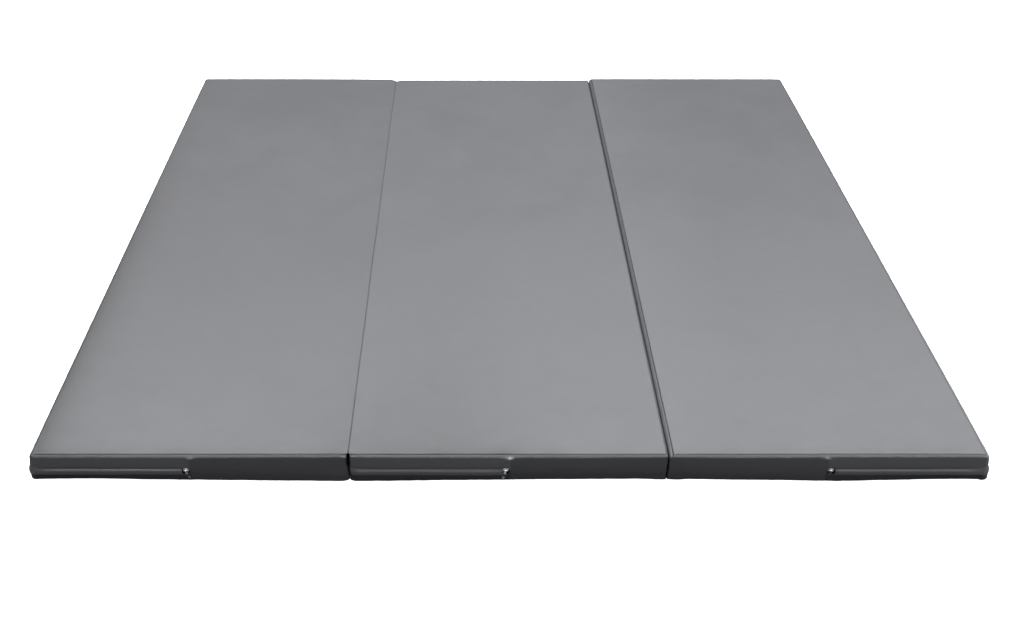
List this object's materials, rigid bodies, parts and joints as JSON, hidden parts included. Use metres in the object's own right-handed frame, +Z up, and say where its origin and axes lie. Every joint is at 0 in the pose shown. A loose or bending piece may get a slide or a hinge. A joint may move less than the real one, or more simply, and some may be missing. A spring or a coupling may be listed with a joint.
{
  "type": "folding gym mat",
  "caption": "Flat foam mat in a dark coated-fabric cover that opens out for floor exercise and folds in a Z along its seams, with a zipped side under a flap.",
  "frame": {"origin": "on the floor under the centre of the opened mat, on the underside of the middle panel", "axes": "+X across the panels towards the panel that folds under, +Y along the folds away from the zipped ends, +Z up"},
  "size_m": [1.5048, 1.5024, 0.05],
  "materials": {
    "top_vinyl": "satin coated fabric, charcoal grey",
    "base_vinyl": "satin coated fabric with a grip texture, charcoal grey",
    "wall_vinyl": "satin coated fabric, charcoal grey",
    "flap_vinyl": "satin coated fabric, folded double",
    "hinge_vinyl": "satin coated fabric",
    "foam": "closed-cell foam, off-white",
    "zip_tape": "woven polyester tape",
    "zip_coil": "nylon coil",
    "zip_metal": "nickel-plated"
  },
  "bodies": {
    "middle_panel": {"middle_foam_core": "foam", "middle_top_sheet": "top_vinyl", "middle_bottom_sheet": "base_vinyl", "middle_plain_wall": "wall_vinyl", "middle_upper_band": "wall_vinyl", "middle_lower_band": "wall_vinyl", "middle_flap_side": "flap_vinyl", "middle_upper_tape": "zip_tape", "middle_lower_tape": "zip_tape", "middle_upper_coil": "zip_coil", "middle_lower_coil": "zip_coil", "middle_upper_top_stop": "zip_metal", "middle_lower_top_stop": "zip_metal", "middle_bottom_stop": "zip_metal", "left_hinge_web": "hinge_vinyl", "right_hinge_web": "hinge_vinyl"},
    "left_panel": {"left_foam_core": "foam", "left_top_sheet": "top_vinyl", "left_bottom_sheet": "base_vinyl", "left_plain_wall": "wall_vinyl", "left_upper_band": "wall_vinyl", "left_lower_band": "wall_vinyl", "left_flap_side": "flap_vinyl", "left_upper_tape": "zip_tape", "left_lower_tape": "zip_tape", "left_upper_coil": "zip_coil", "left_lower_coil": "zip_coil", "left_upper_top_stop": "zip_metal", "left_lower_top_stop": "zip_metal", "left_bottom_stop": "zip_metal"},
    "right_panel": {"right_foam_core": "foam", "right_top_sheet": "top_vinyl", "right_bottom_sheet": "base_vinyl", "right_plain_wall": "wall_vinyl", "right_upper_band": "wall_vinyl", "right_lower_band": "wall_vinyl", "right_flap_side": "flap_vinyl", "right_upper_tape": "zip_tape", "right_lower_tape": "zip_tape", "right_upper_coil": "zip_coil", "right_lower_coil": "zip_coil", "right_upper_top_stop": "zip_metal", "right_lower_top_stop": "zip_metal", "right_bottom_stop": "zip_metal"},
    "left_slider": {"left_slider": "zip_metal"},
    "left_pull": {"left_pull": "zip_metal"},
    "left_flap": {"left_flap_front": "flap_vinyl"},
    "middle_slider": {"middle_slider": "zip_metal"},
    "middle_pull": {"middle_pull": "zip_metal"},
    "middle_flap": {"middle_flap_front": "flap_vinyl"},
    "right_slider": {"right_slider": "zip_metal"},
    "right_pull": {"right_pull": "zip_metal"},
    "right_flap": {"right_flap_front": "flap_vinyl"}
  },
  "joints": [
    {"name": "left_fold", "type": "hinge", "parent": "middle_panel", "child": "left_panel", "pos_m": [-0.25075, 0, 0.05025], "axis": [0, 1, 0], "range_deg": [0, 180]},
    {"name": "right_fold", "type": "hinge", "parent": "middle_panel", "child": "right_panel", "pos_m": [0.25075, 0, -0.00025], "axis": [0, 1, 0], "range_deg": [0, 180]},
    {"name": "left_zip_slide", "type": "slide", "parent": "left_panel", "child": "left_slider", "axis": [-1, 0, 0], "range_m": [0, 0.22]},
    {"name": "left_pull_swing", "type": "hinge", "parent": "left_slider", "child": "left_pull", "pos_m": [-0.506, -0.7498, 0.02], "axis": [-1, 0, 0], "range_deg": [0, 100]},
    {"name": "left_flap_lift", "type": "hinge", "parent": "left_panel", "child": "left_flap", "pos_m": [-0.5015, -0.75075, 0.027], "axis": [-1, 0, 0], "range_deg": [0, 120]},
    {"name": "middle_zip_slide", "type": "slide", "parent": "middle_panel", "child": "middle_slider", "axis": [-1, 0, 0], "range_m": [0, 0.22]},
    {"name": "middle_pull_swing", "type": "hinge", "parent": "middle_slider", "child": "middle_pull", "pos_m": [-0.0045, -0.7498, 0.02], "axis": [-1, 0, 0], "range_deg": [0, 100]},
    {"name": "middle_flap_lift", "type": "hinge", "parent": "middle_panel", "child": "middle_flap", "pos_m": [0, -0.75075, 0.027], "axis": [-1, 0, 0], "range_deg": [0, 120]},
    {"name": "right_zip_slide", "type": "slide", "parent": "right_panel", "child": "right_slider", "axis": [1, 0, 0], "range_m": [0, 0.22]},
    {"name": "right_pull_swing", "type": "hinge", "parent": "right_slider", "child": "right_pull", "pos_m": [0.506, -0.7498, 0.02], "axis": [-1, 0, 0], "range_deg": [0, 100]},
    {"name": "right_flap_lift", "type": "hinge", "parent": "right_panel", "child": "right_flap", "pos_m": [0.5015, -0.75075, 0.027], "axis": [-1, 0, 0], "range_deg": [0, 120]}
  ]
}
